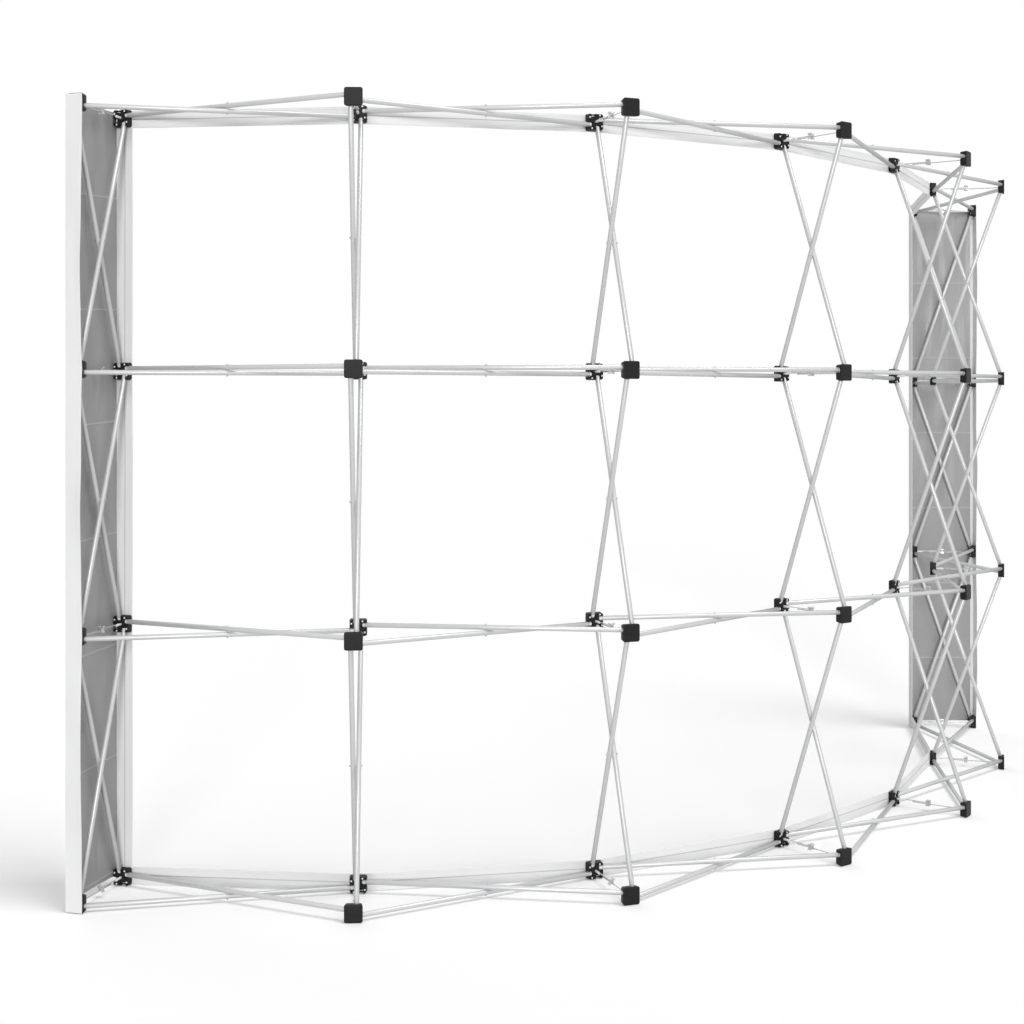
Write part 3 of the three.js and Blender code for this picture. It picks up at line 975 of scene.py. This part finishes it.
def border_corners():
    """Corners of the border's plan: flat over each column's hubs, straight between them."""
    places = [(c, x) for c in range(BAYS + 1) for x in (HALF_HUB, -HALF_HUB)]
    return [column_matrix(c) @ Vector((x, BORDER_INNER, 0)) for c, x in places]


def level_band(top):
    """The top or bottom band of the border."""
    corners = border_corners()
    spans = [(b - a).length for a, b in zip(corners, corners[1:])]
    edge = FABRIC_TOP if top else FABRIC_LIFT
    inward = -1 if top else 1

    def point(along, across, depth):
        index = 0
        left = along
        while index < len(spans) - 1 and left > spans[index]:
            left -= spans[index]
            index += 1
        share = left / spans[index]
        spot = corners[index].lerp(corners[index + 1], share)
        out = (spot - Vector((0, ARC_CENTRE_Y, 0))).normalized()
        free = math.sin(math.pi * share) if index % 2 == 1 else 0
        loose = across / BORDER_WIDTH
        ripple = noise.noise(Vector((along * 0.0055, loose * 0.8, 3.0 if top else 9.0)))
        wave = BAND_WAVE * ripple + 1.2 * loose * math.sin(along * 0.0146)
        spot = spot + out * (free * wave - depth)
        spot.z = edge + inward * across + free * loose * BAND_PULL * ripple
        return spot

    border_band("border_top" if top else "border_bottom", sum(spans), 168, point)


def end_band(column, side_sign, name):
    """An upright band of the border at one end of the wall."""
    frame_of = column_matrix(column)

    def point(along, across, depth):
        z = FABRIC_LIFT + along
        loose = across / BORDER_WIDTH
        free = abs(math.sin(math.pi * (z - HALF_HUB) / ROW_PITCH))
        ripple = noise.noise(Vector((z * 0.006, loose, column + 2.0)))
        x = HALF_HUB - across - free * loose * BAND_PULL
        y = BORDER_INNER - depth + BAND_WAVE * free * ripple
        return frame_of @ Vector((side_sign * x, y, z))

    border_band(name, FABRIC_TOP - FABRIC_LIFT, 96, point)


def panel_side(column, side_sign, body, creases_from, lean, top_bow):
    """The panel's side over the end of the frame: white outside and grey inside.

    White hems show inside along its back, top and bottom edges. The creases start at the
    height creases_from and rise by `lean` to its front edge, and top_bow(u) raises its top.
    """
    depth = STRIP_OUTER - BORDER_OUTER
    low = FABRIC_LIFT + END_INSET
    high = FABRIC_TOP - END_INSET
    frame_of = column_matrix(column)
    hem_share = 1 - BACK_HEM / depth

    def is_hem(u, z):
        return u > hem_share or z > high - TOP_HEM or z < low + TOP_HEM

    def place(u, z, side):
        stretch, part = divmod((z - creases_from) / CREASE_PITCH, 1)
        held = min(part, 1 - part)
        taut = min(held / CREASE_HOLD, 1)
        taut = taut * taut * (3 - 2 * taut)
        roll = noise.noise(Vector((u * 3.4, stretch * 3.7, column + 1.5)))
        roll += 0.6 * noise.noise(Vector((u * 8.0, z * 0.003, column + 4.5)))
        free = math.sin(math.pi * u) ** 0.6
        belly = max(free * (1 + SIDE_BELLY * taut * roll), SIDE_BELLY_LOW)
        ridge = CREASE_HEIGHT * max(0, 1 - held * CREASE_PITCH / CREASE_HALF) * free
        skin = SIDE_CLOTH if side else 0
        if side == 0 and is_hem(u, z):
            skin = -HEM_RISE
        x = PANEL_INNER + SIDE_GAP + belly - ridge + skin
        y = BORDER_OUTER + SIDE_GAP + u * (depth - 2 * SIDE_GAP)
        reach = (z - low) / (high - low)
        z += top_bow(u) * max(0, reach - 0.9) * 10
        z += lean * (1 - u) * min(1, reach * 10, (1 - reach) * 10)
        return frame_of @ Vector((side_sign * x, y, z))

    def uv(u, z):
        return (u * depth * 0.001, (z - creases_from) * 0.001)

    def slot_of(side, u, z):
        return 1 if side or is_hem(u, z) else 0

    heights = set(even(low, high, 110)) | {low + TOP_HEM, high - TOP_HEM}
    for count in range(math.ceil((high - creases_from) / CREASE_PITCH)):
        crease = creases_from + count * CREASE_PITCH
        near = [crease + shift for shift in (-8, -4, -1.6, 0, 1.6, 4, 8)]
        heights = {z for z in heights if abs(z - crease) > 10}
        heights |= {z for z in near if low < z < high}
    shares = set(even(0, 1, 26)) | {hem_share - 0.002, hem_share + 0.002}
    shape = cloth_shape(sorted(shares), sorted(heights), place, uv, slot_of)
    put_cloth(f"{body}_side", shape, [GREY, WHITE], body, body)


def panel_strip(column, side_sign, body):
    """The strip of the panel that is folded over the back hubs' caps."""
    frame_of = column_matrix(column)

    def place(u, z, side):
        free = abs(math.sin(math.pi * (z - HALF_HUB) / ROW_PITCH)) ** 0.8
        ripple = 0.5 + 0.5 * noise.noise(Vector((z * 0.005, u, column + 5.0)))
        pulled = 0.6 + noise.noise(Vector((z * 0.0031, 2.5, column + 8.0)))
        x = PANEL_OUTER - u * (REAR_STRIP - STRIP_PULL * free * pulled)
        hem = STRIP_HEM_RISE if u > 1 - STRIP_HEM / REAR_STRIP else 0
        y = STRIP_INNER + (1.6 + hem if side else 0.1) + free * (1.5 + 8.0 * u) * ripple
        return frame_of @ Vector((side_sign * x, y, z))

    def uv(u, z):
        return (u * REAR_STRIP * 0.001, (z - FABRIC_LIFT) * 0.001)

    shares = [0, 0.02, 0.04, 0.2, 0.4, 0.6, 0.79, 0.8, 0.815, 0.825, 0.84, 0.85, 0.96, 0.98, 1]
    heights = even(FABRIC_LIFT, FABRIC_TOP, 140)
    shape = cloth_shape(shares, heights, place, uv)
    put_cloth(f"{body}_strip", shape, [WHITE], body, body)


# ---- Stage, in metres ----

AMBIENT = 0.34
FLOOR_WHITE = 0.85
FLOOR_LIFT = 0.18
FLOOR_HALF = 40
FLOOR_DROP = 0.0006  # keeps the floor off the faces that stand on it

# Azimuth and elevation of where each lamp stands, its strength, and its softness in degrees.
LAMPS = {
    "key_light": (200, 64, 1.65, 32),
    "camera_side_fill": (143, 10, 1.35, 14),
    "front_fill": (-10, 35, 0.45, 60),
}

IMAGE_WIDTH = 1024
FOCAL_PIXELS = 1581
HORIZON_ROW = 402
SENSOR_WIDTH = 36
CAMERA_PLACE = (3.701, 3.718, 1.390)
CAMERA_AIM = (-0.6136, -0.7896, 0)

def path_is_shown(nodes, links):
    """1 for camera, glossy and transmission rays."""
    path = nodes.new("ShaderNodeLightPath")
    total = path.outputs["Is Camera Ray"]
    for name in ("Is Glossy Ray", "Is Transmission Ray"):
        node = nodes.new("ShaderNodeMath")
        node.operation = "MAXIMUM"
        links.new(total, node.inputs[0])
        links.new(path.outputs[name], node.inputs[1])
        total = node.outputs["Value"]
    return total


def make_floor():
    """A pale floor that keeps the shadows, with a little light of its own for what sees it."""
    mesh = bpy.data.meshes.new("floor")
    half = FLOOR_HALF
    corners = [(-half, -half, 0), (half, -half, 0), (half, half, 0), (-half, half, 0)]
    mesh.from_pydata(corners, [], [(0, 1, 2, 3)])
    floor = bpy.data.objects.new("floor", mesh)
    floor.location.z = -FLOOR_DROP
    bpy.context.scene.collection.objects.link(floor)
    material = bpy.data.materials.new("floor")
    material.use_nodes = True
    nodes = material.node_tree.nodes
    links = material.node_tree.links
    nodes.clear()
    diffuse = nodes.new("ShaderNodeBsdfDiffuse")
    diffuse.inputs["Color"].default_value = (FLOOR_WHITE, FLOOR_WHITE, FLOOR_WHITE, 1)
    glow = nodes.new("ShaderNodeEmission")
    lift = nodes.new("ShaderNodeMath")
    lift.operation = "MULTIPLY"
    lift.inputs[1].default_value = FLOOR_LIFT
    links.new(path_is_shown(nodes, links), lift.inputs[0])
    links.new(lift.outputs["Value"], glow.inputs["Strength"])
    both = nodes.new("ShaderNodeAddShader")
    links.new(diffuse.outputs[0], both.inputs[0])
    links.new(glow.outputs[0], both.inputs[1])
    output = nodes.new("ShaderNodeOutputMaterial")
    links.new(both.outputs[0], output.inputs["Surface"])
    mesh.materials.append(material)


def make_world():
    """White where it is seen, and a plain dimmer light on the object."""
    world = bpy.data.worlds.new("studio")
    world.use_nodes = True
    bpy.context.scene.world = world
    nodes = world.node_tree.nodes
    links = world.node_tree.links
    strength = nodes.new("ShaderNodeMapRange")
    strength.inputs["To Min"].default_value = AMBIENT
    strength.inputs["To Max"].default_value = 1
    links.new(path_is_shown(nodes, links), strength.inputs["Value"])
    background = nodes["Background"]
    background.inputs["Color"].default_value = (1, 1, 1, 1)
    links.new(strength.outputs["Result"], background.inputs["Strength"])


def make_sun(name, azimuth, elevation, strength, softness):
    """A soft lamp; azimuth and elevation say where it stands, as for the views."""
    lamp = bpy.data.lights.new(name, "SUN")
    lamp.energy = strength
    lamp.angle = math.radians(softness)
    sun = bpy.data.objects.new(name, lamp)
    bpy.context.scene.collection.objects.link(sun)
    a = math.radians(azimuth)
    e = math.radians(elevation)
    back = Vector((math.sin(a) * math.cos(e), -math.cos(a) * math.cos(e), math.sin(e)))
    sun.location = back * 6
    sun.rotation_mode = "QUATERNION"
    sun.rotation_quaternion = (-back).to_track_quat("-Z", "Y")


def make_camera():
    data = bpy.data.cameras.new("camera")
    data.sensor_width = SENSOR_WIDTH
    data.lens = FOCAL_PIXELS / IMAGE_WIDTH * SENSOR_WIDTH
    data.shift_y = (HORIZON_ROW - IMAGE_WIDTH / 2) / IMAGE_WIDTH
    camera = bpy.data.objects.new("camera", data)
    camera.location = CAMERA_PLACE
    camera.rotation_mode = "QUATERNION"
    camera.rotation_quaternion = Vector(CAMERA_AIM).to_track_quat("-Z", "Y")
    bpy.context.scene.collection.objects.link(camera)
    bpy.context.scene.camera = camera


make_camera()
make_world()
make_floor()
for lamp_name, settings in LAMPS.items():
    make_sun(lamp_name, *settings)

make_hubs()
make_level_tubes()
make_upright_tubes()
make_bolts()
make_lock_arms()
level_band(True)
level_band(False)
end_band(0, 1, "border_end_left")
end_band(BAYS, -1, "border_end_right")
panel_side(
    0, 1, "end_panel_left", creases_from=38, lean=13, top_bow=lambda u: 18 - 8 * u
)
panel_side(
    BAYS,
    -1,
    "end_panel_right",
    creases_from=-27,
    lean=0,
    top_bow=lambda u: 10 * math.sin(math.pi * u**0.6),
)
panel_strip(0, 1, "end_panel_left")
panel_strip(BAYS, -1, "end_panel_right")

bpy.context.scene.view_settings.view_transform = "Standard"
bpy.context.view_layer.update()
